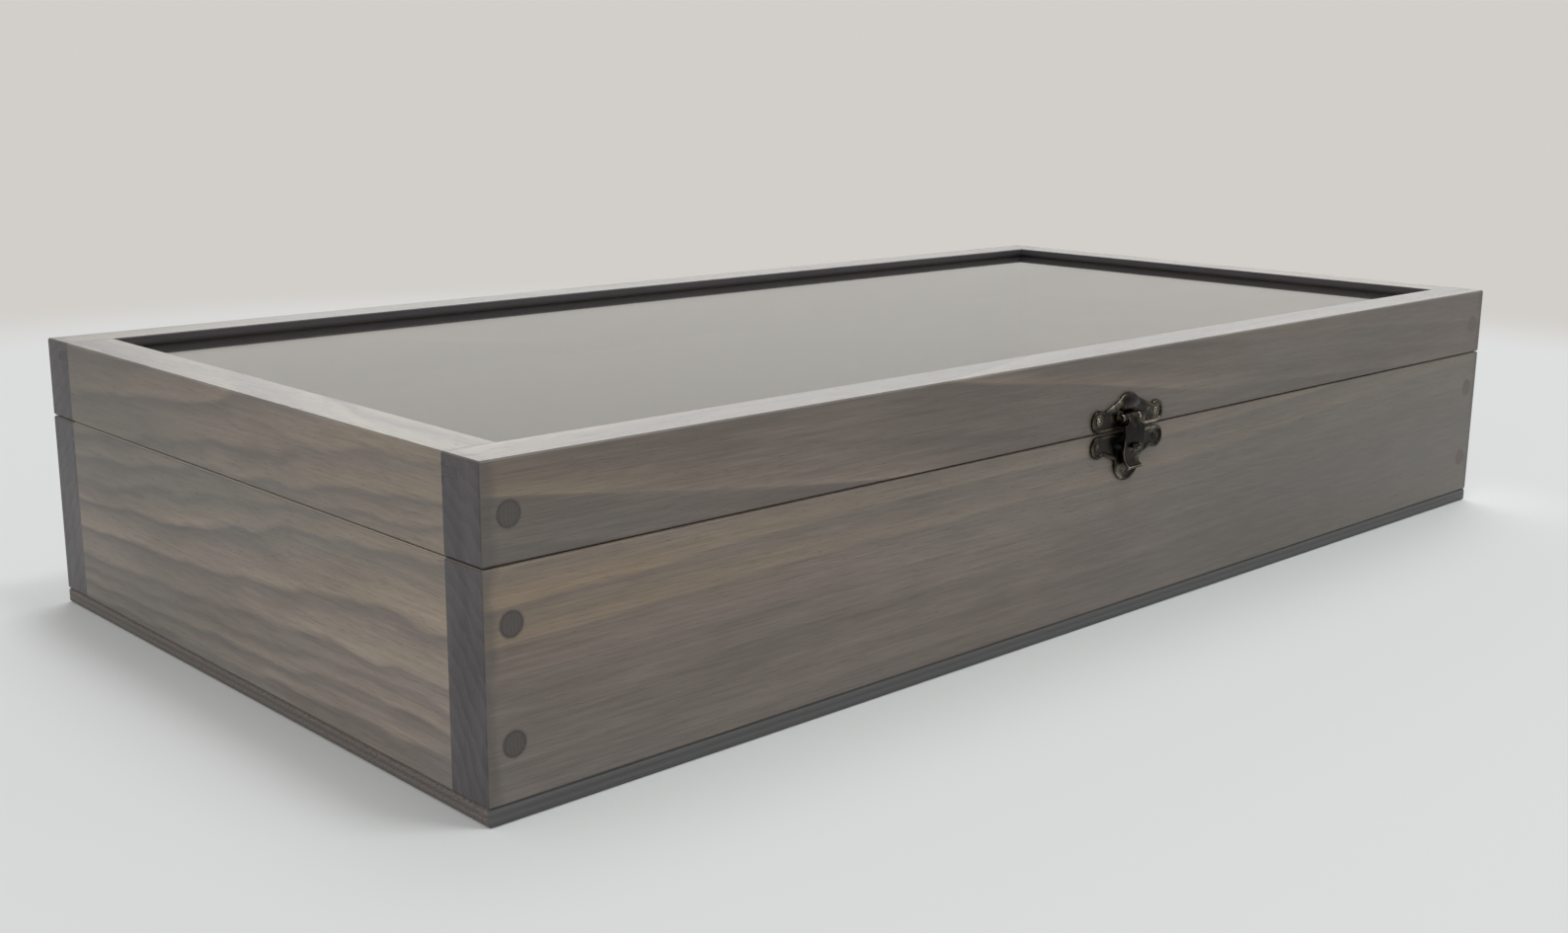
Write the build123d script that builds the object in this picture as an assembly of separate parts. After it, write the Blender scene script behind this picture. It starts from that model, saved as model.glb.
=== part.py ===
from build123d import *
import os

# Table-top display case for pins: a shallow box of butt-jointed pine boards on a plywood bottom, sawn
# apart into a base and a hinged lid that holds a clear pane in a groove. A covered pin board lies in
# the base. Two butt hinges join the halves at the back, and a lobed latch with a hasp holds them at
# the front.
# Millimetres. The origin is the middle of the underside, +X runs along the length to the right, +Y to
# the back and +Z up, so the latch is on the -Y face.

# Case
case_length = 610.0
case_depth = 305.0
board = 19.0                    # thickness of every wall board
bottom_thickness = 6.0          # plywood
base_wall_height = 72.4
lid_wall_height = 31.2
seam = 0.4                      # between the closed lid and the base
eased_edge = 0.6                # bevel along the boards' outer edges
opening_edge = 0.4              # bevel round the lid's opening
panel_edge = 0.8                # bevel along the plywood's edges

# Corner dowels, driven through the long boards into the ends of the short ones
dowel_diameter = 8.0
dowel_length = 44.0
base_dowel_heights = (18.2, 54.8)   # above the plywood
lid_dowel_height = 14.7             # above the lid's lower edge
glue_line = 0.05                # radial room round dowels, plugs and nails

# Pane and its groove
pane_thickness = 3.0
pane_play = 0.1                 # above and below the pane
pane_recess = 4.0               # from the lid's top down to the groove
groove_depth = 8.0
pane_expansion = 1.0            # between the pane's edge and the groove's floor

# Pin board
pin_core_thickness = 12.0
cover_thickness = 1.0
pin_board_gap = 0.4             # between the cover and the walls

# Butt hinges
hinge_inset = 105.0             # from the case's end to the hinge's middle
hinge_width = 38.0
leaf_height = 14.5              # from the pin's axis
leaf_thickness = 1.0
leaf_corner = 1.5
hinge_pin_diameter = 2.0
knuckle_wall = 0.95
knuckle_count = 3
knuckle_gap = 0.2
running = 0.05                  # radial clearance of a pin in a knuckle that turns on it
hinge_nail_spacing = 26.0
hinge_nail_height = 9.0         # from the pin's axis

# Latch plates, measured from the middle of the seam
plate_thickness = 0.8
rim_height = 1.5                # of the plate's raised rim, from the wood
rim_width = 1.3
rim_bevel = 0.4
plate_gap = 0.6                 # from the middle of the seam to a plate's straight edge
side_petal_reach = 19.0         # sideways from the middle to the side petals
side_petal_radius = 4.6
tip_petal_radius = 8.2
upper_tip_height = 6.9
lower_tip_height = 12.6
shoulder_reach = 16.5           # the shoulders between the side petals and the tip petal
shoulder_height = 8.4
waist_reach = 6.0
waist_height = 12.5
notch_round = 0.9

# Round-headed nails of the hinges and the latch
nail_head = 3.4
nail_head_height = 0.9
nail_shank = 1.3
nail_shank_sides = 8
nail_length = 10.0

# Hasp, its pin and the catch
hasp_axis_height = 5.4
hasp_pin_diameter = 1.3
hasp_knuckle_wall = 0.95
hasp_knuckle_width = 7.0
plate_knuckle_width = 3.2
hasp_thickness = 0.9
hasp_width = 13.0
hasp_tip_width = 9.0
hasp_taper = 4.0                # height over which the strap narrows to its tip
hasp_bulge = 0.7
hasp_tip_height = -14.6
hasp_curl_height = -10.4
hasp_curl_rise = 2.2            # of the lifting tip, outwards from the strap's line
slot_clearance = 0.6            # beside and above the catch
catch_width = 5.0
catch_thickness = 1.5
catch_height = -5.9
catch_overhang = 1.2            # past the hasp's outer face
catch_lip = 0.4                 # how far the catch's end turns down
catch_lip_thickness = 0.6
catch_edge = 0.3                # bevel of the catch's end
catch_play = 1.2                # below the lip, so that the hasp swings off it
catch_foot = 0.9                # rim of the catch's foot, above and below it
catch_foot_thickness = 0.7

# Worked out from the sizes above
half_length, half_depth = case_length / 2, case_depth / 2
inner_half_length, inner_half_depth = half_length - board, half_depth - board
base_top = bottom_thickness + base_wall_height
lid_bottom = base_top + seam
lid_top = lid_bottom + lid_wall_height
seam_middle = base_top + seam / 2
corner_x = half_length - board / 2          # the middle of a short board's end

# Local frames on the front and back faces: x along the case, y up from the seam, z outwards
front_face = Plane(origin=(0, -half_depth, seam_middle), x_dir=(1, 0, 0), z_dir=(0, -1, 0))
back_face = Plane(origin=(0, half_depth, seam_middle), x_dir=(-1, 0, 0), z_dir=(0, 1, 0))


def block(x, y, z):
    # a box between the low and high values of each axis
    return Pos(sum(x) / 2, sum(y) / 2, sum(z) / 2) * Box(x[1] - x[0], y[1] - y[0], z[1] - z[0])


def group(pieces):
    return Compound(children=list(pieces))


def rod(radius, start, length, direction):
    # a cylinder that starts at a point and runs along a direction
    return Plane(origin=start, z_dir=direction).location * Cylinder(
        radius, length, align=(Align.CENTER, Align.CENTER, Align.MIN))


# Nail with its head's underside at the origin, driven along -z; room is the space round it, for its hole
def nail(room=0.0):
    shank = extrude(RegularPolygon(nail_shank / 2 + room, nail_shank_sides), -nail_length - room)
    return shank if room else shank + rod(nail_head / 2, (0, 0, 0), nail_head_height, (0, 0, 1))


# ---- Wooden case ----

def eased_block(low, high, edge):
    # the whole outline of the case between two heights, with its edges eased
    return chamfer(block((-half_length, half_length), (-half_depth, half_depth), (low, high)).edges(), edge)


def walls(low, high):
    # the four walls as one frame
    return eased_block(low, high, eased_edge) - block(
        (-inner_half_length, inner_half_length), (-inner_half_depth, inner_half_depth), (low, high))


def boards(low, high):
    # the frame cut into its boards: the front and back run the full length, the sides butt between
    frame, tall, past = walls(low, high), (low, high), board
    end_to_end, between = (-half_length - past, half_length + past), (-inner_half_depth, inner_half_depth)
    cuts = {
        "front": block(end_to_end, (-half_depth - past, -inner_half_depth), tall),
        "back": block(end_to_end, (inner_half_depth, half_depth + past), tall),
        "left": block((-half_length - past, -inner_half_length), between, tall),
        "right": block((inner_half_length, half_length + past), between, tall),
    }
    return {side: frame & cut for side, cut in cuts.items()}


def dowels(heights, room=0.0):
    # the pins run from the long boards' faces into the short boards' ends
    return [rod(dowel_diameter / 2 + room, (x, side * half_depth, z), dowel_length + room, (0, -side, 0))
            for x in (-corner_x, corner_x) for side in (-1, 1) for z in heights]


# ---- Pane ----

groove_top = lid_top - pane_recess
groove_height = pane_thickness + 2 * pane_play
groove_bottom = groove_top - groove_height
groove_half_length, groove_half_depth = inner_half_length + groove_depth, inner_half_depth + groove_depth


def pane_groove(side):
    # one saw cut along each board's inner face: those in the long boards run out at their ends
    tall = (groove_bottom, groove_top)
    if side in ("front", "back"):
        return block((-case_length, case_length), (-groove_half_depth, groove_half_depth), tall)
    return block((-groove_half_length, groove_half_length), (-case_depth, case_depth), tall)


def groove_plugs():
    # fillets of wood that close the grooves where they run out at the ends of the long boards
    across = (inner_half_depth, groove_half_depth - glue_line)
    along = (groove_half_length, half_length)
    tall = (groove_bottom + glue_line, groove_top - glue_line)
    one = block(along, across, tall)
    return [one, mirror(one, Plane.XZ), mirror(one, Plane.YZ), mirror(mirror(one, Plane.YZ), Plane.XZ)]


def opening_bevel():
    # the frustum that takes the arris off round the lid's opening
    deep = opening_edge
    low = Pos(0, 0, lid_top - deep) * Rectangle(2 * inner_half_length, 2 * inner_half_depth)
    high = Pos(0, 0, lid_top) * Rectangle(2 * (inner_half_length + deep), 2 * (inner_half_depth + deep))
    return loft([low, high])


pane_half_length, pane_half_depth = groove_half_length - pane_expansion, groove_half_depth - pane_expansion
glass_pane = block((-pane_half_length, pane_half_length), (-pane_half_depth, pane_half_depth),
                   (groove_bottom + pane_play, groove_top - pane_play))


# ---- Pin board ----

cover_half_length, cover_half_depth = inner_half_length - pin_board_gap, inner_half_depth - pin_board_gap
core_half_length, core_half_depth = cover_half_length - cover_thickness, cover_half_depth - cover_thickness
core_top = bottom_thickness + pin_core_thickness
pin_board_core = block((-core_half_length, core_half_length), (-core_half_depth, core_half_depth),
                       (bottom_thickness, core_top))
pin_board_cover = block((-cover_half_length, cover_half_length), (-cover_half_depth, cover_half_depth),
                        (bottom_thickness, core_top + cover_thickness)) - pin_board_core


# ---- Butt hinges, in the back face's own frame ----

hinge_pin_radius = hinge_pin_diameter / 2
bore_radius = hinge_pin_radius + running
knuckle_radius = bore_radius + knuckle_wall
hinge_axis_out = knuckle_radius + running           # the knuckles just clear the wood
knuckle_width = (hinge_width - (knuckle_count - 1) * knuckle_gap) / knuckle_count
knuckle_pitch = knuckle_width + knuckle_gap
hinge_middles = (-half_length + hinge_inset, half_length - hinge_inset)


def knuckle_middles(first):
    return [(i - (knuckle_count - 1) / 2) * knuckle_pitch for i in range(first, knuckle_count, 2)]


def hinge_nail_spots(side):
    return [(x, side * hinge_nail_height) for x in (-hinge_nail_spacing / 2, hinge_nail_spacing / 2)]


def hinge_leaf(side, own, other):
    # side +1 is the lid's leaf and -1 the base's; own and other are the knuckles' first numbers
    outline = Pos(0, side * leaf_height / 2) * Rectangle(hinge_width, leaf_height)
    far_corners = outline.vertices().filter_by(lambda corner: side * corner.Y > 0)
    leaf = extrude(fillet(far_corners, leaf_corner), leaf_thickness)
    clear = knuckle_radius + knuckle_gap
    for x in knuckle_middles(other):
        leaf -= Pos(x, 0, 0) * Box(knuckle_width + 2 * knuckle_gap, 2 * clear, 4 * knuckle_radius)
    for x in knuckle_middles(own):
        leaf += rod(knuckle_radius, (x - knuckle_width / 2, 0, hinge_axis_out), knuckle_width, (1, 0, 0))
    leaf -= rod(bore_radius, (-hinge_width, 0, hinge_axis_out), 2 * hinge_width, (1, 0, 0))
    return leaf - [Pos(x, y, leaf_thickness) * nail(glue_line) for x, y in hinge_nail_spots(side)]


def on_hinges(piece):
    # the same piece at both hinges, in the case's frame
    return [back_face.location * Pos(-x, 0, 0) * piece for x in hinge_middles]


def hinge_nails(side, room=0.0):
    return [moved for x, y in hinge_nail_spots(side)
            for moved in on_hinges(Pos(x, y, leaf_thickness) * nail(room))]


hinge_pin = rod(hinge_pin_radius, (-hinge_width / 2, 0, hinge_axis_out), hinge_width, (1, 0, 0))


# ---- Latch, in the front face's own frame ----

side_petal_height = plate_gap + side_petal_radius   # the side petals sit on the plate's straight edge


def petals(side, tip_height):
    # half a blossom: two side petals, a tip petal and the shoulders between them, cut off at the seam
    top = tip_height + tip_petal_radius
    body = make_face(Polyline(
        (-side_petal_reach, 0), (-side_petal_reach, side_petal_height), (-shoulder_reach, shoulder_height),
        (-waist_reach, waist_height), (waist_reach, waist_height), (shoulder_reach, shoulder_height),
        (side_petal_reach, side_petal_height), (side_petal_reach, 0), (-side_petal_reach, 0)))
    for x in (-side_petal_reach, side_petal_reach):
        body += Pos(x, side_petal_height) * Circle(side_petal_radius)
    body += Pos(0, tip_height) * Circle(tip_petal_radius)
    body = offset(offset(body, notch_round), -notch_round)
    body &= Pos(0, plate_gap + top) * Rectangle(4 * side_petal_reach, 2 * top)
    return body if side > 0 else mirror(body, Plane.XZ)


def nail_spots(side):
    return [(x, side * side_petal_height) for x in (-side_petal_reach, side_petal_reach)]


def latch_plate(side, tip_height):
    # sheet with a raised, bevelled rim and a nail hole in each side petal
    outline = petals(side, tip_height)
    rim = extrude(outline, rim_height)
    rim = chamfer(rim.faces().sort_by(Axis.Z)[-1].edges(), rim_bevel)
    field = extrude(offset(outline, -rim_width), rim_height)
    plate = rim - Pos(0, 0, plate_thickness) * field
    return plate - [Pos(x, y, plate_thickness) * nail(glue_line) for x, y in nail_spots(side)]


def latch_nails(side, room=0.0):
    return [front_face.location * Pos(x, y, plate_thickness) * nail(room) for x, y in nail_spots(side)]


hasp_bore = hasp_pin_diameter / 2 + running
hasp_knuckle_radius = hasp_bore + hasp_knuckle_wall
hasp_axis_out = plate_thickness + running + hasp_knuckle_radius
barrel_half = hasp_knuckle_width / 2 + knuckle_gap + plate_knuckle_width
hasp_line_out = hasp_axis_out + hasp_knuckle_radius - hasp_thickness / 2    # the strap's middle line
hasp_far_out = 2 * (hasp_line_out + hasp_curl_rise)                         # clear past the whole strap


def hasp_rod(radius, start, end):
    return rod(radius, (start, hasp_axis_height, hasp_axis_out), end - start, (1, 0, 0))


def upper_plate():
    plate = latch_plate(1, upper_tip_height)
    web = hasp_knuckle_wall
    for start in (-barrel_half, barrel_half - plate_knuckle_width):
        end = start + plate_knuckle_width
        plate += hasp_rod(hasp_knuckle_radius, start, end)
        edge = hasp_axis_height + hasp_knuckle_radius
        plate += block((start, end), (edge - web, edge), (0, hasp_axis_out))
    return plate - hasp_rod(hasp_bore, -2 * barrel_half, 2 * barrel_half)


def hasp():
    # a bent strap: it leaves the knuckle, bulges over the catch and curls out into a lifting tip
    start = (hasp_axis_height, hasp_line_out)
    low = (hasp_curl_height, hasp_line_out - hasp_bulge / 2)
    middle = ((start[0] + low[0]) / 2, hasp_line_out + hasp_bulge)
    bow = ThreePointArc(start, middle, low)
    curl = TangentArc(low, (hasp_tip_height, hasp_line_out + hasp_curl_rise), tangent=bow % 1)
    strap = trace(bow + curl, hasp_thickness)
    # the side view has x up the plate and y outwards; it is extruded across the latch
    side_view = Plane(origin=(-hasp_width / 2, 0, 0), x_dir=(0, 1, 0), z_dir=(1, 0, 0))
    strap = side_view.location * extrude(strap, hasp_width)
    # the front view narrows at the knuckle, between the plate's own, and again towards the tip
    neck = hasp_axis_height - hasp_knuckle_radius - knuckle_gap
    shoulder = neck - hasp_knuckle_radius
    wide_end, narrow_start = hasp_curl_height + hasp_taper / 2, hasp_curl_height - hasp_taper / 2
    top, bottom = hasp_axis_height + hasp_knuckle_radius, hasp_tip_height - hasp_thickness
    half, knuckle_half, tip_half = hasp_width / 2, hasp_knuckle_width / 2, hasp_tip_width / 2
    right = [(knuckle_half, top), (knuckle_half, neck), (half, shoulder), (half, wide_end),
             (tip_half, narrow_start), (tip_half, bottom)]
    left = [(-x, y) for x, y in reversed(right)]
    strap &= extrude(make_face(Polyline(*right, *left, right[0])), hasp_far_out)
    strap += hasp_rod(hasp_knuckle_radius, -knuckle_half, knuckle_half)
    strap -= hasp_rod(hasp_bore, -hasp_width, hasp_width)
    return strap - hasp_slot()


def hasp_slot():
    half = catch_width / 2 + slot_clearance
    high = catch_height + catch_thickness / 2 + slot_clearance
    low = catch_height - catch_thickness / 2 - catch_lip - catch_play
    return block((-half, half), (low, high), (plate_thickness, hasp_far_out))


def catch():
    # a tongue that stands out of the lower plate on a foot, with its end turned down behind the hasp
    out = hasp_line_out + hasp_bulge + hasp_thickness / 2 + catch_overhang
    across = (-catch_width / 2, catch_width / 2)
    low, high = catch_height - catch_thickness / 2, catch_height + catch_thickness / 2
    nose = block(across, (low, high), (plate_thickness, out))
    nose += block(across, (low - catch_lip, high), (out - catch_lip_thickness, out))
    nose = chamfer(nose.faces().sort_by(Axis.Z)[-1].edges().filter_by(Axis.X), catch_edge)
    foot_out = plate_thickness + catch_foot_thickness
    return nose + block(across, (low - catch_foot, high + catch_foot), (plate_thickness, foot_out))


os.makedirs("parts", exist_ok=True)

base_voids = dowels([bottom_thickness + z for z in base_dowel_heights], glue_line)
base_voids += hinge_nails(-1, glue_line) + latch_nails(-1, glue_line)
lid_voids = dowels([lid_bottom + lid_dowel_height], glue_line)
lid_voids += hinge_nails(1, glue_line) + latch_nails(1, glue_line)
lid_voids.append(opening_bevel())

bottom_panel = eased_block(0, bottom_thickness, panel_edge)

nodes = {}
for side, piece in boards(bottom_thickness, base_top).items():
    nodes[f"base_{side}_board"] = piece - base_voids
for side, piece in boards(lid_bottom, lid_top).items():
    nodes[f"lid_{side}_board"] = piece - lid_voids - pane_groove(side)
nodes |= {
    "bottom_panel": bottom_panel,
    "base_dowels": group(dowels([bottom_thickness + z for z in base_dowel_heights])),
    "lid_dowels": group(dowels([lid_bottom + lid_dowel_height])),
    "lid_groove_plugs": group(groove_plugs()),
    "glass_pane": glass_pane,
    "pin_board_core": pin_board_core,
    "pin_board_cover": pin_board_cover,
    "hinge_pins": group(on_hinges(hinge_pin)),
    "hinge_base_nails": group(hinge_nails(-1)),
    "hinge_lid_nails": group(hinge_nails(1)),
    "latch_upper_plate": front_face.location * upper_plate(),
    "latch_lower_plate": front_face.location * latch_plate(-1, lower_tip_height),
    "latch_catch": front_face.location * catch(),
    "latch_upper_nails": group(latch_nails(1)),
    "latch_lower_nails": group(latch_nails(-1)),
    "latch_hasp": front_face.location * hasp(),
    "latch_hasp_pin": front_face.location * hasp_rod(hasp_pin_diameter / 2, -barrel_half, barrel_half),
}
for side, base_leaf, lid_leaf in zip(("left", "right"), on_hinges(hinge_leaf(-1, 0, 1)),
                                     on_hinges(hinge_leaf(1, 1, 0))):
    nodes[f"hinge_base_leaf_{side}"] = base_leaf
    nodes[f"hinge_lid_leaf_{side}"] = lid_leaf

for name, piece in nodes.items():
    export_step(piece, f"parts/{name}.step")
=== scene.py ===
from math import pi, radians

import bpy
from mathutils import Matrix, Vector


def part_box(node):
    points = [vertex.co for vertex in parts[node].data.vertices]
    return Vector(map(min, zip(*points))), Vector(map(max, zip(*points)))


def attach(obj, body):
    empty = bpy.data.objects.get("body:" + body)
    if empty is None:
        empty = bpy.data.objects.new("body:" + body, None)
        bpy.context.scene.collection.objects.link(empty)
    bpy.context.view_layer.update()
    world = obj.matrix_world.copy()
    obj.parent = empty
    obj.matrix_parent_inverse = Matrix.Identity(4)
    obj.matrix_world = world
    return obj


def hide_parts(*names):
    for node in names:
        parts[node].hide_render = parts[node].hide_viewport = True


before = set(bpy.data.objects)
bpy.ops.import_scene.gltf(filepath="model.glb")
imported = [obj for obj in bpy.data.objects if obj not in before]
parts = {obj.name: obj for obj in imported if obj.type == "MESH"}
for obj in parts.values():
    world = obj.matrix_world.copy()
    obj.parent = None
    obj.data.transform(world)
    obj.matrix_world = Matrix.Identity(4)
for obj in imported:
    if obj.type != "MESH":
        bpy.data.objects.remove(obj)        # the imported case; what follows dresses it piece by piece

print("stage: frame loaded")

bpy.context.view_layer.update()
mm = 0.001               # sizes below are in millimetres, like the case's drawing

# The case's own lines, read from its pieces
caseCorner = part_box("bottom_panel")[1]
halfLength, halfDepth = caseCorner.x / mm, caseCorner.y / mm
wall = (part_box("base_left_board")[1].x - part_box("base_left_board")[0].x) / mm
baseFloor, baseTop = [corner.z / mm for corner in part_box("base_front_board")]
lidLow, lidTop = [corner.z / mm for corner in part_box("lid_front_board")]


# ---- hands: small helpers for the operators

def pick(*pieces):
    # selects these pieces and nothing else
    bpy.ops.object.select_all(action="DESELECT")
    for piece in pieces:
        piece.hide_set(False)
        piece.select_set(True)
    bpy.context.view_layer.objects.active = pieces[0]


def copyNode(name, newName):
    # a merged copy of a node, to be worked on
    pick(bpy.data.objects[name])
    bpy.ops.object.duplicate()
    piece = bpy.context.object
    piece.name = newName
    piece.data.name = newName
    bpy.ops.object.mode_set(mode="EDIT")
    bpy.ops.mesh.select_all(action="SELECT")
    bpy.ops.mesh.remove_doubles(threshold=0.002 * mm)
    bpy.ops.object.mode_set(mode="OBJECT")
    return piece


def startChoice(kind):
    # faces or edges are chosen in code while nothing is selected
    bpy.ops.object.mode_set(mode="EDIT")
    bpy.ops.mesh.select_mode(type=kind)
    bpy.ops.mesh.select_all(action="DESELECT")
    bpy.ops.object.mode_set(mode="OBJECT")


def chooseFaces(piece, wanted):
    # in edit mode with faces picked by their middle and normal
    startChoice("FACE")
    for face in piece.data.polygons:
        face.select = wanted(face.center / mm, face.normal)
    bpy.ops.object.mode_set(mode="EDIT")


def chooseEdges(piece, wanted):
    # in edit mode with edges picked by their two ends
    startChoice("EDGE")
    points = piece.data.vertices
    for edge in piece.data.edges:
        edge.select = wanted(*[points[i].co / mm for i in edge.vertices])
    bpy.ops.object.mode_set(mode="EDIT")


def addModifier(piece, kind, apply=True, **settings):
    pick(piece)
    modifier = piece.modifiers.new(kind.lower(), kind)
    for key, value in settings.items():
        setattr(modifier, key, value)
    if apply:
        bpy.ops.object.modifier_apply(modifier=modifier.name)


def settle(piece):
    # its place goes into its mesh
    pick(piece)
    bpy.ops.object.transform_apply(location=True, rotation=True, scale=True)


def joined(*pieces):
    pick(*pieces)
    bpy.ops.object.join()
    return pieces[0]


def castSoft(piece, grain, rounds):
    # melts the joined shapes into one and softens its edges, as casting and plating do
    settle(piece)
    addModifier(piece, "REMESH", mode="VOXEL", voxel_size=grain * mm)
    addModifier(piece, "SMOOTH", factor=0.5, iterations=rounds)
    pick(piece)
    bpy.ops.object.shade_smooth()


# ---- shader helpers

class Wire:
    # one output of a node: sums written with wires add Math nodes
    def __init__(self, finish, socket):
        self.finish = finish
        self.socket = socket

    def __add__(self, other):
        return self.finish.math("ADD", self, other)

    def __radd__(self, other):
        return self.finish.math("ADD", other, self)

    def __sub__(self, other):
        return self.finish.math("SUBTRACT", self, other)

    def __rsub__(self, other):
        return self.finish.math("SUBTRACT", other, self)

    def __mul__(self, other):
        return self.finish.math("MULTIPLY", self, other)

    def __rmul__(self, other):
        return self.finish.math("MULTIPLY", other, self)

    def __truediv__(self, other):
        return self.finish.math("DIVIDE", self, other)

    def __pow__(self, other):
        return self.finish.math("POWER", self, other)

    def __abs__(self):
        return self.finish.math("ABSOLUTE", self)


class Nodes:
    # a tree of nodes, written as sums
    def __init__(self, tree):
        self.tree = tree

    def node(self, kind, settings=None, values=None, output=0):
        made = self.tree.nodes.new(kind)
        for key, value in (settings or {}).items():
            if key == "stops":
                setStops(made.color_ramp, value)
            else:
                setattr(made, key, value)
        for key, value in (values or {}).items():
            self.feed(made.inputs[key], value)
        return Wire(self, made.outputs[output])

    def feed(self, socket, value):
        if isinstance(value, Wire):
            self.tree.links.new(value.socket, socket)
        else:
            socket.default_value = value

    def math(self, operation, *values):
        return self.node("ShaderNodeMath", {"operation": operation}, dict(enumerate(values)))

    def root(self, value):
        return self.math("SQRT", value)

    def fract(self, value):
        return self.math("FRACT", value)

    def reach(self, across, up):
        # how far a place is from a middle, from its two distances to it
        return self.root(across * across + up * up)

    def ease(self, value, low, high, start=0.0, end=1.0):
        # goes smoothly from start to end while value goes from low to high
        return self.node("ShaderNodeMapRange", {"interpolation_type": "SMOOTHSTEP"},
                         {0: value, 1: low, 2: high, 3: start, 4: end})

    def blend(self, share, first, second, how="MIX"):
        settings = {"data_type": "RGBA", "blend_type": how, "clamp_factor": True}
        return self.node("ShaderNodeMix", settings, {0: share, 6: first, 7: second}, output=2)

    def shade(self, colour, factor):
        # a colour made darker or paler by a factor or by another colour
        return self.blend(1.0, colour, factor, "MULTIPLY")

    def split(self, place):
        return [self.node("ShaderNodeSeparateXYZ", {}, {0: place}, output=i) for i in range(3)]


class Finish(Nodes):
    # a material, with its place in millimetres ready to use
    def __init__(self, name, **constants):
        self.material = bpy.data.materials.new(name)
        self.material.use_nodes = True
        super().__init__(self.material.node_tree)
        self.shader = self.tree.nodes["Principled BSDF"]
        for socket, value in constants.items():
            self.shader.inputs[socket.replace("_", " ")].default_value = value
        metres = self.node("ShaderNodeTexCoord", output="Object")
        self.place = self.node("ShaderNodeMapping", {"vector_type": "POINT"},
                               {"Vector": metres, "Scale": (1 / mm,) * 3})
        self.x, self.y, self.z = self.split(self.place)

    def noise(self, size, detail=2.0, seed=0.0, rough=0.5):
        # soft lumps of the given size along x, y and z, from 0 to 1
        lumps = self.node("ShaderNodeMapping", {"vector_type": "POINT"}, {
            "Vector": self.place, "Location": (seed, seed * 1.7, seed * 2.3),
            "Scale": tuple(1 / s for s in size)})
        return self.node("ShaderNodeTexNoise", {}, {
            "Vector": lumps, "Scale": 1.0, "Detail": detail, "Roughness": rough})

    def pores(self, seed):
        # the fine open grain on sawn ends
        return self.noise((0.4, 0.4, 0.4), detail=2.0, seed=seed)

    def relief(self, height, distance, strength=1.0):
        bump = self.node("ShaderNodeBump", {}, {
            "Height": height, "Distance": distance * mm, "Strength": strength})
        self.feed(self.shader.inputs["Normal"], bump)

    def show(self, socket, value):
        self.feed(self.shader.inputs[socket], value)

    def cover(self, share, under, over):
        # the surface goes from one shader to another
        surface = self.node("ShaderNodeMixShader", {}, {0: share, 1: under, 2: over})
        self.feed(self.tree.nodes["Material Output"].inputs["Surface"], surface)


def setStops(ramp, stops):
    while len(ramp.elements) > 1:
        ramp.elements.remove(ramp.elements[-1])
    ramp.elements[0].position, ramp.elements[0].color = stops[0]
    for position, colour in stops[1:]:
        ramp.elements.new(position).color = colour


def tint(red, green, blue):
    # a colour as a painter's swatch book gives it, 0 to 255, in the shader's linear light
    return tuple((c / 255 / 12.92) if c < 10.3 else ((c / 255 + 0.055) / 1.055) ** 2.4
                 for c in (red, green, blue)) + (1.0,)


def dress(finish, *names):
    # gives a node or a piece its finish
    for name in names:
        piece = bpy.data.objects[name]
        piece.data.materials.clear()
        piece.data.materials.append(finish.material)


# ---- grey-stained pine

pineLook = {
    "dark": tint(92, 84, 79), "middle": tint(106, 97, 91), "pale": tint(134, 122, 108),
    "shade": tint(76, 71, 68), "warm": tint(121, 106, 86), "cool": tint(92, 91, 86),
    "streaks": (0.28, 0.72, 0.91, 1.09), "fibres": (0.28, 0.72, 0.87, 1.13),
    "flecks": (0.7, 0.76), "fleckShare": 0.45,
    "heartDepth": 110.0, "heartBelow": 35.0,      # where the tree's heart lay behind a board's face
    "ringScale": 200.0,                           # the ring ramp covers this height
    "roughness": (0.36, 0.5),
    # the top faces are painted paler and cooler, a painted sheen
    "top": 1.12, "topTint": (0.9, 1.0, 1.08, 1.0), "topEdge": (0.6, 0.2),
    # the seam tone is painted light on the faces inside the seam's gap
    "seam": tint(138, 131, 123), "seamDepth": (2.5, 4.0), "seamSpread": (0.1, 0.5),
    # the lip is stained dark; the near black next to the pane is painted shadow of the groove
    "lip": tint(58, 56, 60), "lipGrooveShadow": tint(14, 12, 14), "lipShare": 0.94,
    "lipFrom": (100.0, 100.4), "lipEdge": (1.1, 0.2), "lipFade": (106.2, 107.9),
}

endLook = {
    "dark": tint(49, 46, 49), "pale": tint(76, 72, 73), "edge": tint(72, 68, 66),
    "soak": (6.0, 1.0), "soakWander": 9.0, "soakShare": 0.55,      # stain creeps round the corner
    "years": 5.2, "yearShare": 0.28, "pithShare": 0.45, "pores": (0.3, 0.7, 0.9, 1.08),
    "rise": (1.35, 0.98),                                          # paler low down than at the lid
}

dowelLook = {
    "dark": tint(66, 62, 60), "pale": tint(80, 75, 71), "glue": tint(50, 47, 45),
    "radius": 4.0, "inset": 9.5, "heights": (24.2, 60.8, 93.5),
    "years": 1.3, "heart": 9.0, "yearShare": 0.6, "pores": (0.3, 0.7, 0.86, 1.06),
    "rim": 1.2, "rimShare": 0.5, "right": (-10.0, 10.0), "rightShare": 0.8,
    "ring": 1.0, "ringShare": (0.45, 0.0), "ringRight": (1.0, 0.3),      # the glue round it
}


# a board whose rings run on straight and alike; each board's own dictionary says what differs
straightBoard = {
    "swing": 0.0, "swingFrom": (0.0, 300.0),      # how far its rings rise along such a stretch,
    "fan": 0.0, "fanTop": 0.0,                    # how much more the higher ones do, up to a height,
    "slope": 0.0, "bend": (300.0, 0.0),           # how they tilt all along, and past a place
    "fade": (0.0, 300.0, 1.0, 1.0), "rise": (1.0, 1.0),
}


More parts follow.
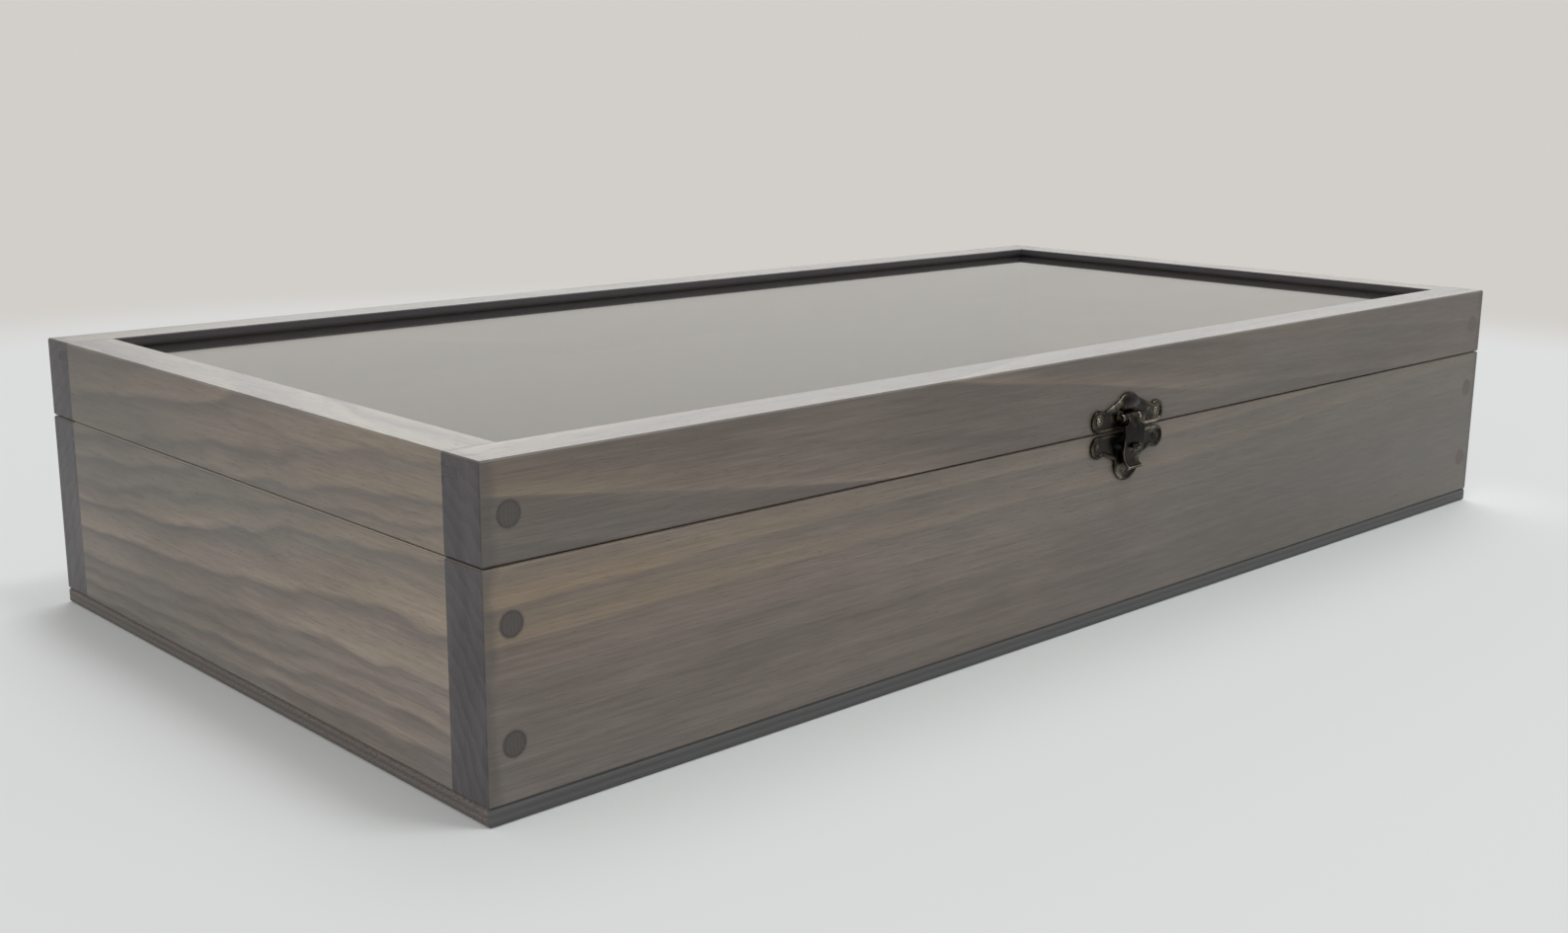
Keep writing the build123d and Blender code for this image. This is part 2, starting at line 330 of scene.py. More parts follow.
def ringStops(rings, soft):
    # between two rings the wood pales downwards, to a bright line above a dark edge
    scale = pineLook["ringScale"]
    stops = [(0.0, (0.3, 0.3, 0.3, 1))]
    for height, bright in rings:
        stops.append(((height - soft) / scale, (0.0, 0.0, 0.0, 1)))
        stops.append(((height + soft) / scale, (bright, bright, bright, 1)))
    return stops


def ringHeight(finish, board, run, grain):
    # the height on the board's face that a ring comes from, followed back to the near end
    z, seed = finish.z, board["seed"]
    swing = finish.ease(run, *board["swingFrom"])
    fanned = finish.math("MINIMUM", z, board["fanTop"]) * board["fan"]
    height = z + (fanned + board["swing"]) * swing + board["slope"] * run
    bentAfter, bend = board["bend"]
    height = height - finish.math("MAXIMUM", run - bentAfter, 0.0) * bend
    for (length, width, amount), shift in ((board["wander"], 0), (board["ripple"], 3)):
        height = height + (grain(length, width, detail=1.0, seed=seed + shift) - 0.5) * amount
    return height


def stainEnds(finish, tone, outward):
    # end grain shows where the board stops, and the open grain drinks stain round the corner too
    look = endLook
    x, z = abs(finish.x), finish.z
    creep = (finish.noise((9.0, 9.0, 13.0), detail=2.0, seed=53.0) - 0.5) * look["soakWander"]
    far, close = look["soak"]
    soaked = finish.ease(x + creep, halfLength - far, halfLength - close)
    tone = finish.blend(soaked * look["soakShare"], tone, look["edge"])
    years = finish.root(outward) / look["years"] + finish.noise((9.0, 9.0, 16.0), seed=31.0) * 1.6
    pith = finish.noise((40.0, 9.0, 40.0), detail=2.0, seed=35.0)
    share = (finish.ease(finish.fract(years), 0.0, 1.0) * look["yearShare"]
             + finish.ease(pith, 0.3, 0.7) * look["pithShare"])
    ends = finish.blend(share, look["dark"], look["pale"])
    ends = finish.shade(ends, finish.ease(finish.pores(37.0), *look["pores"])
                        * finish.ease(z, 0.0, lidTop, *look["rise"]))
    return finish.blend(finish.ease(x, halfLength - 0.5, halfLength - 0.1), tone, ends)


def glueRings(finish, tone):
    # stain gathers in the ring of glue round each dowel, more at the left than at the right
    look = dowelLook
    across = abs(finish.x) - (halfLength - look["inset"])
    for middle in look["heights"]:
        away = finish.reach(across, finish.z - middle) - look["radius"]
        share = (finish.ease(away, 0.0, look["ring"], *look["ringShare"])
                 * finish.ease(finish.x, *look["right"], *look["ringRight"]))
        tone = finish.blend(share, tone, look["glue"])
    return tone


def seamPaintedLight(finish, tone, deep):
    # painted light: the faces that lie on each other in the seam are painted paler just inside it, to
    # lift the shade in the gap
    look = pineLook
    halfGap, middle = (lidLow - baseTop) / 2, (baseTop + lidLow) / 2
    near, far = look["seamSpread"]
    paleLit = finish.ease(deep, 0.0, 0.4) * finish.ease(deep, *look["seamDepth"], 1.0, 0.0)
    paleLit = paleLit * finish.ease(abs(finish.z - middle), halfGap + near, halfGap + far, 1.0, 0.0)
    return finish.blend(paleLit, tone, look["seam"])


def pine(name, along, board):
    look = pineLook
    finish = Finish(name, IOR=1.5)
    lengthways = along == "x"
    run = (finish.x + halfLength) if lengthways else (finish.y + halfDepth)
    deep = (halfDepth - abs(finish.y)) if lengthways else (halfLength - abs(finish.x))
    z, seed = finish.z, board["seed"]

    def grain(length, width, **more):
        # lumps drawn out along the board
        size = (length, width, width) if lengthways else (width, length, width)
        return finish.noise(size, **more)

    height = ringHeight(finish, board, run, grain)
    below, depth = look["heartBelow"], look["heartDepth"]
    outward = (height + below) * (height + below) + (depth - deep) * (depth - deep)
    ring = finish.root(finish.math("MAXIMUM", outward - depth * depth, 4.0)) - below

    stops = ringStops(board["rings"], board["soft"])
    profile = finish.node("ShaderNodeValToRGB", {"stops": stops}, {0: ring / look["ringScale"]})
    fine = finish.fract(ring / board["fineRings"] + grain(300.0, 12.0, detail=0.0, seed=11.0))
    fine = (1 - fine) * finish.ease(fine, 0.0, 0.15)
    crest = profile ** board["crest"]
    cloud = grain(130.0, 26.0, detail=3.0, seed=seed + 7)
    presence = finish.ease(grain(90.0, 18.0, detail=1.0, seed=seed + 19), 0.3, 0.62, 0.45, 1.0)
    presence = presence * finish.ease(run, *board["fade"])
    streaks = grain(22.0, 1.5, detail=3.0, seed=seed + 29, rough=0.6)
    fibres = grain(55.0, 0.42, detail=3.0, seed=5.0, rough=0.65)
    flecks = finish.ease(grain(6.0, 0.3, detail=0.0, seed=9.0), *look["flecks"])
    shaded = finish.ease(profile, 0.0, 0.4, 1.0, 0.0) * presence * board["shadeShare"]
    cooled = finish.ease(grain(170.0, 40.0, detail=1.0, seed=seed + 13), 0.45, 0.68)
    warmth = finish.ease(run, *board["warmRun"], 1.0, 0.25) * finish.ease(z, *board["warmRise"])

    tone = finish.blend(finish.ease(cloud, 0.3, 0.7), look["dark"], look["middle"])
    tone = finish.blend(fine * board["fineShare"], tone, look["pale"])
    tone = finish.blend(shaded, tone, look["shade"])
    tone = finish.blend(crest * presence * board["share"], tone, look["pale"])
    tone = finish.blend(cooled * board["coolShare"], tone, look["cool"])
    if "greyRun" in board:
        tone = finish.blend(finish.ease(run, *board["greyRun"]), tone, look["cool"])
    tone = finish.blend(warmth * finish.ease(profile, 0.0, 0.9, 0.35, 1.0) * board["warmShare"],
                        tone, look["warm"])
    tone = finish.blend(flecks * look["fleckShare"], tone, look["dark"])
    tone = finish.shade(tone, finish.ease(streaks, *look["streaks"]))
    tone = finish.shade(tone, finish.ease(fibres, *look["fibres"]))

    # painted light and shade: the outer faces are made darker towards the far end and change in tone
    # from bottom to top, and the top faces are painted paler and cooler as a sheen
    length = 2 * (halfLength if lengthways else halfDepth)
    paintedLightLevel = (finish.ease(run, 0.0, length, *board["lightLevel"])
            * finish.ease(z, 0.0, lidTop, *board["rise"]))
    topFace = finish.ease(z, lidTop - look["topEdge"][0], lidTop - look["topEdge"][1])
    tone = finish.shade(tone, paintedLightLevel * (1 - topFace) + topFace * look["top"])
    tone = finish.blend(topFace, tone, look["topTint"], "MULTIPLY")
    if lengthways:
        tone = glueRings(finish, stainEnds(finish, tone, outward))
    else:
        tone = seamPaintedLight(finish, tone, deep)
    # stain gathers in the glue where the boards meet
    joint = finish.ease(abs(abs(finish.y) - (halfDepth - wall)), 0.05, 0.4, 0.6, 0.0)
    joint = joint * finish.ease(abs(finish.x), halfLength - wall - 0.2, halfLength - wall)
    tone = finish.blend(joint, tone, dowelLook["glue"])
    # the lip that frames the pane is stained dark, and painted shadow of the groove makes it near
    # black where it meets the glass
    far, close = look["lipEdge"]
    lip = finish.ease(deep, wall - far, wall - close) * finish.ease(z, *look["lipFrom"])
    black = finish.blend(finish.ease(z, *look["lipFade"]), look["lipGrooveShadow"], look["lip"])
    tone = finish.blend(lip * look["lipShare"], tone, black)

    finish.show("Base Color", tone)
    finish.show("Roughness", finish.ease(fibres, 0.2, 0.8, *look["roughness"]))
    finish.relief(fibres * 0.6 + profile * 0.5 - flecks, 0.1, 0.7)
    return finish


# rings are heights up the near end with how pale each one is; runs are distances along the board;
# the shares and the crest say how strongly rings, shade, grey and warm stain show
# each board's level and rise make its faces darker along their length and change them from bottom to
# top, as painted shade and light
baseLong = pine("stainedPineBase", "x", {
    **straightBoard, "seed": 2.0, "lightLevel": (1.04, 0.88), "rise": (1.03, 1.0),
    "swing": -4.5, "swingFrom": (0.0, 130.0), "bend": (300.0, 0.05),
    "fade": (230.0, 380.0, 1.0, 0.7), "greyRun": (240.0, 400.0, 0.0, 0.4),
    "wander": (260.0, 60.0, 9.0), "ripple": (45.0, 16.0, 2.4),
    "rings": ((9.0, 0.4), (19.0, 0.5), (31.0, 0.5), (42.0, 0.5), (54.0, 0.85), (65.5, 1.0),
              (77.0, 0.2)),
    "soft": 0.6, "share": 0.55, "shadeShare": 0.2, "crest": 2.6,
    "fineRings": 5.2, "fineShare": 0.1, "coolShare": 0.35,
    "warmRun": (10.0, 220.0), "warmRise": (38.0, 62.0), "warmShare": 0.7})
lidLong = pine("stainedPineLid", "x", {
    **straightBoard, "seed": 44.0, "lightLevel": (0.87, 0.79),
    "slope": 0.127, "bend": (350.0, 0.07), "fade": (280.0, 380.0, 1.0, 0.5),
    "wander": (240.0, 90.0, 8.0), "ripple": (70.0, 25.0, 1.6),
    "rings": ((86.0, 0.3), (99.5, 1.0), (114.0, 0.25), (134.0, 0.9), (144.0, 0.5), (154.0, 0.6),
              (166.0, 0.45)),
    "soft": 0.5, "share": 0.8, "shadeShare": 0.4, "crest": 3.2,
    "fineRings": 6.3, "fineShare": 0.08, "coolShare": 0.3,
    "warmRun": (0.0, 330.0), "warmRise": (80.0, 100.0), "warmShare": 0.3})
shortSides = pine("stainedPineSides", "y", {
    **straightBoard, "seed": 17.0, "lightLevel": (1.1, 0.8), "rise": (1.3, 0.97),
    "swingFrom": (10.0, 300.0), "fan": 0.58, "fanTop": 52.0,
    "wander": (110.0, 30.0, 12.0), "ripple": (30.0, 14.0, 8.0),
    "rings": ((14.0, 0.55), (24.0, 0.7), (33.0, 0.35), (41.0, 0.8), (57.0, 1.0), (77.0, 1.0),
              (86.0, 0.5), (95.5, 0.9), (106.0, 0.7), (121.0, 0.8), (138.0, 0.8), (150.0, 0.5)),
    "soft": 1.3, "share": 0.74, "shadeShare": 0.58, "crest": 1.5,
    "fineRings": 4.6, "fineShare": 0.1, "coolShare": 0.42,
    "warmRun": (0.0, 230.0), "warmRise": (0.0, 90.0), "warmShare": 0.4})
dress(baseLong, "base_front_board", "base_back_board")
dress(lidLong, "lid_front_board", "lid_back_board")
dress(shortSides, "base_left_board", "base_right_board", "lid_left_board", "lid_right_board")
print("stage: pine")


def dowelEnds(name, middle, span):
    look = dowelLook
    finish = Finish(name, IOR=1.5)
    across = abs(finish.x) - (halfLength - look["inset"])
    lift = abs(finish.z - middle) - span
    away = finish.reach(across, lift)
    years = finish.fract(finish.reach(across + look["heart"], lift) / look["years"])
    years = finish.ease(years, 0.0, 1.0) * look["yearShare"]
    pores = finish.pores(41.0)
    tone = finish.blend(years, look["dark"], look["pale"])
    tone = finish.shade(tone, finish.ease(pores, *look["pores"]))
    rim = finish.ease(away, look["radius"] - look["rim"], look["radius"]) * look["rimShare"]
    tone = finish.blend(rim, tone, look["glue"])
    # the ones at the right took the stain as the boards did
    right = finish.ease(finish.x, *look["right"]) * look["rightShare"]
    tone = finish.blend(right, tone, pineLook["dark"])
    finish.show("Base Color", tone)
    finish.show("Roughness", finish.ease(pores, 0.3, 0.7, 0.5, 0.62))
    finish.relief(pores, 0.15, 0.6)
    return finish


lowDowel, highDowel, lidDowel = dowelLook["heights"]
baseDowels = dowelEnds("dowelEndBase", (lowDowel + highDowel) / 2, (highDowel - lowDowel) / 2)
dress(baseDowels, "base_dowels")
dress(dowelEnds("dowelEndLid", lidDowel, 0.0), "lid_dowels")


def plugEnds():
    # the strips that close the pane's groove, stained with the end grain
    finish = Finish("groovePlug", IOR=1.5)
    pores = finish.pores(47.0)
    tone = finish.blend(finish.ease(pores, 0.3, 0.7), endLook["dark"], endLook["pale"])
    finish.show("Base Color", tone)
    finish.show("Roughness", finish.ease(pores, 0.3, 0.7, 0.5, 0.62))
    finish.relief(pores, 0.15, 0.6)
    return finish


dress(plugEnds(), "lid_groove_plugs")

# ---- plywood

plyLook = {
    "plies": 5, "face": tint(104, 95, 88), "long": tint(76, 76, 76), "longDark": tint(60, 60, 62),
    "across": tint(106, 98, 92), "acrossDark": tint(62, 58, 57), "edge": (0.9, 0.7),
}


def plywood():
    look = plyLook
    finish = Finish("stainedPlywood", IOR=1.5)
    turn = finish.math("PINGPONG", finish.z / (baseFloor / look["plies"]), 1.0)
    crossed = finish.ease(turn, 0.3, 0.7)
    tubes = finish.noise((0.9, 0.9, 0.35), detail=2.0, seed=8.0)
    streaks = finish.noise((26.0, 26.0, 0.35), detail=2.0, seed=3.0)
    # the long edges soak up stain; the short ones stay paler, rough and open
    long = finish.blend(crossed * 0.6, look["long"], look["longDark"])
    long = finish.shade(long, finish.ease(streaks, 0.3, 0.7, 0.9, 1.1))
    opened = finish.ease(tubes, 0.3, 0.62) * (1 - crossed * 0.5)
    across = finish.blend(opened, look["acrossDark"], look["across"])
    grain = finish.noise((180.0, 5.0, 5.0), detail=4.0, seed=14.0, rough=0.6)
    face = finish.blend(finish.ease(grain, 0.3, 0.7), pineLook["dark"], look["face"])
    inner, outer = look["edge"]
    atLong = finish.ease(abs(finish.y), halfDepth - inner, halfDepth - outer)
    atAcross = finish.ease(abs(finish.x), halfLength - inner, halfLength - outer)
    tone = finish.blend(atLong, finish.blend(atAcross, face, across), long)
    finish.show("Base Color", tone)
    finish.show("Roughness", finish.ease(streaks, 0.2, 0.8, 0.5, 0.64))
    finish.relief(streaks + tubes * 0.5, 0.2, 0.7)
    return finish


dress(plywood(), "bottom_panel")
print("stage: plywood and dowels")

# ---- pane

paneLook = {"tint": tint(248, 250, 247), "roughness": (0.015, 0.0375), "ior": 1.5}


def paneGlass():
    look = paneLook
    finish = Finish("clearPane", Base_Color=look["tint"], IOR=look["ior"], Transmission_Weight=1.0)
    smears = finish.noise((120.0, 40.0, 40.0), detail=2.0, seed=6.0)
    finish.show("Roughness", finish.ease(smears, 0.35, 0.75, *look["roughness"]))
    # lamps reach the board through the pane
    lamp = finish.node("ShaderNodeLightPath", output="Is Shadow Ray")
    through = finish.node("ShaderNodeBsdfTransparent", {}, {"Color": look["tint"]})
    finish.cover(lamp, Wire(finish, finish.shader.outputs[0]), through)
    return finish


dress(paneGlass(), "glass_pane")
print("stage: pane")

# ---- pin board

boardLook = {"warp": 0.62, "cloth": tint(192, 193, 189), "clothDeep": tint(155, 156, 152),
             "core": tint(150, 132, 108), "coreDark": tint(118, 100, 80)}


def liningCloth():
    look = boardLook
    finish = Finish("liningCloth", IOR=1.45, Sheen_Weight=0.25, Sheen_Roughness=0.5)
    # along the turned-down hem the weave runs on with the height
    u, v = finish.x + finish.z, finish.y + finish.z
    turn = 2 * pi / look["warp"]
    over = finish.math("SINE", u * turn) * finish.math("SINE", v * turn)
    slub = finish.noise((6.0, 6.0, 6.0), detail=3.0, seed=4.0)
    tone = finish.blend(finish.ease(over, -0.8, 0.8), look["clothDeep"], look["cloth"])
    tone = finish.shade(tone, finish.ease(slub, 0.3, 0.7, 0.92, 1.05))
    finish.show("Base Color", tone)
    finish.show("Roughness", finish.ease(over, -1.0, 1.0, 0.95, 0.82))
    finish.relief(over, 0.18, 0.7)
    return finish


def fibreBoard():
    look = boardLook
    finish = Finish("softFibreBoard")
    chips = finish.noise((1.6, 1.6, 0.6), detail=3.0, seed=12.0)
    tone = finish.blend(finish.ease(chips, 0.35, 0.65), look["coreDark"], look["core"])
    finish.show("Base Color", tone)
    finish.show("Roughness", finish.ease(chips, 0.3, 0.7, 0.9, 0.75))
    finish.relief(chips, 0.3, 0.7)
    return finish


dress(fibreBoard(), "pin_board_core")

coverLook = {
    "flat": (0.597, 0.292),                      # the cut cloth, in metres
    "thick": 0.6, "hem": 12.3, "turns": 3,       # the hem goes down in so many steps
    "room": 0.2, "below": 0.35,                  # how much smaller and lower than its space it is
    "cell": 9.0, "roundness": 1.4, "wave": 0.25, "near": 0.5,
}


def stretchCover():
    # a flat cloth is drawn over the board, its edges turned down and its corners rounded
    look = coverLook
    low, high = [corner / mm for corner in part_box("pin_board_cover")]
    across, up = (high.x - low.x) - look["room"], (high.y - low.y) - look["room"]
    bpy.ops.object.select_all(action="DESELECT")
    bpy.ops.mesh.primitive_grid_add(
        x_subdivisions=round(across / look["cell"]), y_subdivisions=round(up / look["cell"]),
        size=1.0, location=(0, 0, (high.z - look["below"]) * mm))
    cloth = bpy.context.object
    cloth.name = cloth.data.name = "pin_board_cloth"
    cloth.scale = (across * mm, up * mm, 1)
    settle(cloth)
    # the weave is never drawn quite even
    bpy.ops.object.mode_set(mode="EDIT")
    bpy.ops.mesh.select_mode(type="VERT")
    bpy.ops.mesh.select_all(action="SELECT")
    bpy.ops.transform.vertex_random(offset=look["wave"] * mm, uniform=0.0, normal=1.0, seed=4)
    bpy.ops.object.mode_set(mode="OBJECT")

    def near(first, second):
        return abs(first - second) < look["near"]

    def onRim(first, second):
        # both ends lie on the same side of the cloth
        along = near(first.x, second.x) and near(abs(first.x), across / 2)
        return along or (near(first.y, second.y) and near(abs(first.y), up / 2))

    chooseEdges(cloth, onRim)
    for turn in range(look["turns"]):
        down = (0, 0, -look["hem"] / look["turns"] * mm)
        bpy.ops.mesh.extrude_region_move(TRANSFORM_OT_translate={"value": down})
    bpy.ops.object.mode_set(mode="OBJECT")
    addModifier(cloth, "BEVEL", width=look["roundness"] * mm, segments=3,
                limit_method="ANGLE", angle_limit=radians(50))
    addModifier(cloth, "SOLIDIFY", apply=False, thickness=look["thick"] * mm, offset=-1.0)
    pick(cloth)
    bpy.ops.object.shade_smooth_by_angle(angle=radians(60))
    return cloth


cover = stretchCover()
dress(liningCloth(), cover.name)
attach(cover, "base")
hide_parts("pin_board_cover")
print("stage: pin board")

# ---- antique bronze

bronzeLook = {
    "dark": tint(25, 23, 22), "brown": tint(50, 44, 38), "black": tint(12, 11, 12),
    "rubbed": tint(160, 149, 127), "paleLit": tint(222, 216, 204),
    "wornAt": (0.506, 0.534),                    # how sharp an edge must be to have worn through
    "patches": (0.42, 0.62, 0.1, 0.7),
    # spots where the latch is rubbed bright, partly wear and partly painted highlight, and its
    # darkened middle: across, height and span
    "rubsAndGlints": ((-9.0, 89.0, 7.0), (-19.0, 84.5, 3.5), (1.0, 84.0, 6.0), (15.0, 80.5, 8.0),
             (20.0, 84.0, 4.0), (5.5, 66.5, 4.5), (3.0, 71.0, 3.5), (-4.0, 62.0, 4.5)),
    "rubShare": 0.3, "rubPolish": 0.6,
    "darkMiddle": (-1.0, 77.5, 10.5), "darkMiddleShare": 0.75,
}


def antiqueBronze():
    look = bronzeLook
    finish = Finish("antiqueBronze", Metallic=1.0, Coat_Roughness=0.2)
    front = finish.ease(finish.y, 0.0, 1.0, 1.0, 0.0)

    def spot(across, height, span, core):
        # a round place that fades out from its core
        away = finish.reach(finish.x - across, finish.z - height)
        return finish.ease(away, span * core, span, 1.0, 0.0)

    age = finish.noise((2.6, 2.6, 2.6), detail=4.0, seed=19.0, rough=0.6)
    lumps = finish.noise((9.0, 9.0, 6.0), detail=1.0, seed=33.0)
    handledAndLit = 0.0
    for rub in look["rubsAndGlints"]:
        handledAndLit = finish.math("MAXIMUM", spot(*rub, 0.4), handledAndLit)
    handledAndLit = handledAndLit * front
    darkened = spot(*look["darkMiddle"], 0.55) * front
    grit = finish.noise((0.35, 0.35, 0.35), detail=2.0, seed=27.0)
    # handling has rubbed the rims and the nail heads through to the metal
    ridge = finish.node("ShaderNodeNewGeometry", output="Pointiness")
    patches = finish.ease(lumps, *look["patches"])
    worn = finish.ease(ridge, *look["wornAt"]) * finish.math("MAXIMUM", patches, handledAndLit)
    tone = finish.blend(finish.ease(age, 0.35, 0.7), look["dark"], look["brown"])
    # in the spots the worn metal is near white, wear and a painted highlight together
    metal = finish.blend(handledAndLit, look["rubbed"], look["paleLit"])
    # the flats in the spots are paler too, partly wear and partly painted highlight
    rubbed = handledAndLit * finish.ease(age, 0.4, 0.62) * look["rubShare"]
    tone = finish.blend(rubbed, tone, look["rubbed"])
    # the middle, round the hasp, is made near black
    tone = finish.blend(darkened * look["darkMiddleShare"], tone, look["black"])
    tone = finish.blend(worn * finish.ease(age, 0.3, 0.6, 0.5, 1.0), tone, metal)
    finish.show("Base Color", tone)
    finish.show("Roughness", finish.ease(age, 0.2, 0.8, 0.24, 0.42)
                * (1 - worn * handledAndLit * look["rubPolish"]))
    finish.show("Coat Weight", finish.ease(age, 0.3, 0.7, 0.12, 0.02) * (1 - darkened))
    finish.relief(grit * 0.6 + age * 0.4, 0.05, 0.5)
    return finish


bronze = antiqueBronze()
dress(bronze, *[name for name in parts if name.startswith(("latch_", "hinge_"))])


def standFor(piece, node, body):
    # a finished bronze piece takes its node's place
    dress(bronze, piece.name)
    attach(piece, body)
    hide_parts(node)


latchLook = {
    "grain": 0.2, "rounds": 22,                  # how finely it is cast, and how often smoothed
    "thick": 0.8, "sunk": 0.4,                   # the plates, and how deep a dome sits in one
    # half width, half height and rise of each plate's dome, and where its middle is
    "crown": (7.6, 3.5, 1.4), "crownHeight": 89.2,
    "bowl": (5.6, 5.4, 0.9), "bowlHeight": 65.4,
    "haspGrain": 0.15, "haspRounds": 5,
}


def dome(size, height, front):
    # a low dome that swells out of a plate
    bpy.ops.object.select_all(action="DESELECT")
    bpy.ops.mesh.primitive_uv_sphere_add(segments=48, ring_count=24, radius=mm,
                                         location=(0, front * mm, height * mm))
    swell = bpy.context.object
    halfWidth, halfHeight, rise = size
    swell.scale = (halfWidth, rise + latchLook["sunk"], halfHeight)
    settle(swell)
    return swell


def latchPlate(node, newName, body, size, height):
    look = latchLook
    plate = copyNode(node, newName)
    front = -(halfDepth + look["thick"]) + look["sunk"]
    plate = joined(plate, dome(size, height, front))
    castSoft(plate, look["grain"], look["rounds"])
    standFor(plate, node, body)


latchPlate("latch_upper_plate", "latch_upper_casting", "lid",
           latchLook["crown"], latchLook["crownHeight"])
latchPlate("latch_lower_plate", "latch_lower_casting", "base",
           latchLook["bowl"], latchLook["bowlHeight"])


def castCopy(node, newName, body, grain, rounds):
    # the node itself, with its corners softened
    piece = copyNode(node, newName)
    castSoft(piece, grain, rounds)
    standFor(piece, node, body)


haspCast = (latchLook["haspGrain"], latchLook["haspRounds"])
castCopy("latch_hasp", "latch_hasp_casting", "hasp", *haspCast)
castCopy("latch_catch", "latch_catch_casting", "base", *haspCast)

hingeLook = {"grain": 0.22, "rounds": 4}
for side in ("left", "right"):
    for body in ("base", "lid"):
        leaf = "hinge_%s_leaf_%s" % (body, side)
        castCopy(leaf, leaf + "_casting", body, hingeLook["grain"], hingeLook["rounds"])

nailLook = {
    "headRadius": 1.7, "headRise": 0.95,
    "cut": 0.15,                                 # the ball is cut so far above its middle
    "shankRadius": 0.6, "shankLength": 9.0, "tip": 1.0, "tipShare": 0.2, "sides": 48, "rings": 32,
}


def modelNail():
    # a dome cut from a ball, with the shank drawn out of its flat side
    look = nailLook
    cut, radius = look["cut"], look["headRadius"]
    bpy.ops.object.select_all(action="DESELECT")
    bpy.ops.mesh.primitive_uv_sphere_add(segments=look["sides"], ring_count=look["rings"],
                                         radius=radius * mm)
    nail = bpy.context.object
    bpy.ops.object.mode_set(mode="EDIT")
    bpy.ops.mesh.select_all(action="SELECT")
    bpy.ops.mesh.bisect(plane_co=(0, 0, cut * mm), plane_no=(0, 0, 1),
                        clear_inner=True, use_fill=True)
    bpy.ops.mesh.select_all(action="SELECT")
    bpy.ops.transform.translate(value=(0, 0, -cut * mm))
    bpy.ops.transform.resize(value=(1, 1, look["headRise"] / (radius - cut)),
                             center_override=(0, 0, 0))
    bpy.ops.object.mode_set(mode="OBJECT")
    chooseFaces(nail, lambda middle, normal: normal.z < -0.9)
    bpy.ops.mesh.inset(thickness=(radius - look["shankRadius"]) * mm)
    for length in (look["shankLength"], look["tip"]):
        bpy.ops.mesh.extrude_region_move(TRANSFORM_OT_translate={"value": (0, 0, -length * mm)})
    bpy.ops.transform.resize(value=(look["tipShare"], look["tipShare"], 1))
    bpy.ops.object.mode_set(mode="OBJECT")
    pick(nail)
    bpy.ops.object.shade_smooth_by_angle(angle=radians(40))
    return nail


nail = modelNail()


def driveNails(node, newName, body):
    # one nail over each nail of the node
    holder = copyNode(node, newName)
    pick(holder)
    bpy.ops.object.mode_set(mode="EDIT")
    bpy.ops.mesh.select_all(action="SELECT")
    bpy.ops.mesh.separate(type="LOOSE")
    bpy.ops.object.mode_set(mode="OBJECT")
    places = []
    for part in bpy.context.selected_objects:
        corners = [v.co for v in part.data.vertices]
        low = [min(c[i] for c in corners) for i in range(3)]
        high = [max(c[i] for c in corners) for i in range(3)]
        places.append(((low[0] + high[0]) / 2, low[1], high[1], (low[2] + high[2]) / 2))
    bpy.ops.object.delete()
    shank = (nailLook["shankLength"] + nailLook["tip"]) * mm
    driven = []
    for across, near, far, height in sorted(places):
        pick(nail)
        bpy.ops.object.duplicate()
        struck = bpy.context.object
        outwards = -1 if near < 0 else 1
        seat = far - shank if outwards < 0 else near + shank      # underside of the head
        struck.rotation_euler = (radians(-90 * outwards), 0, 0)
        struck.location = (across, seat, height)
        settle(struck)
        driven.append(struck)
    row = joined(*driven)
    row.name = row.data.name = newName
    standFor(row, node, body)


driveNails("latch_upper_nails", "latch_upper_domed_nails", "lid")
driveNails("latch_lower_nails", "latch_lower_domed_nails", "base")
driveNails("hinge_base_nails", "hinge_base_domed_nails", "base")
driveNails("hinge_lid_nails", "hinge_lid_domed_nails", "lid")
pick(nail)
bpy.ops.object.delete()
print("stage: bronze")

# ---- floor, light and camera

stageLook = {
    "floor": tint(208, 211, 211), "floorDeep": tint(203, 206, 206), "floorHalf": 9.0,
    "backdrop": tint(210, 207, 202), "clearing": (800.0, 1080.0),
    "lift": tint(217, 218, 218), "liftFrom": (2.0, 75.0, 0.0, 0.76),
    "soft": (1.0, 0.985, 0.965, 1.0), "strength": 0.58,
}


def floorFinish():
    # a pale floor that runs out into the backdrop all round
    look = stageLook
    finish = Finish("paleFloor", Roughness=0.9, IOR=1.4)
    away = finish.reach(finish.x, finish.y)
    haze = finish.noise((500.0, 500.0, 500.0), detail=2.0, seed=1.0)
    finish.show("Base Color", finish.blend(haze, look["floor"], look["floorDeep"]))
    # its broad shadow is lifted, away from the case and only where the floor itself is seen,
    # so that the case gets no more light
    seen = finish.node("ShaderNodeLightPath", output="Is Camera Ray")
    aside = finish.math("MAXIMUM", abs(finish.x) - halfLength, 0.0)
    before = finish.math("MAXIMUM", abs(finish.y) - halfDepth, 0.0)
    lifted = seen * finish.ease(finish.reach(aside, before), *look["liftFrom"])
    lift = finish.node("ShaderNodeEmission", {}, {"Color": look["lift"], "Strength": 1.0})
    near = finish.node("ShaderNodeMixShader", {}, {
        0: lifted, 1: Wire(finish, finish.shader.outputs[0]), 2: lift})
    beyond = finish.node("ShaderNodeEmission", {}, {"Color": look["backdrop"], "Strength": 1.0})
    finish.cover(finish.ease(away, *look["clearing"]), near, beyond)
    return finish


bpy.ops.object.select_all(action="DESELECT")
bpy.ops.mesh.primitive_plane_add(size=2 * stageLook["floorHalf"], location=(0, 0, 0))
floor = bpy.context.object
floor.name = "floor"
dress(floorFinish(), "floor")


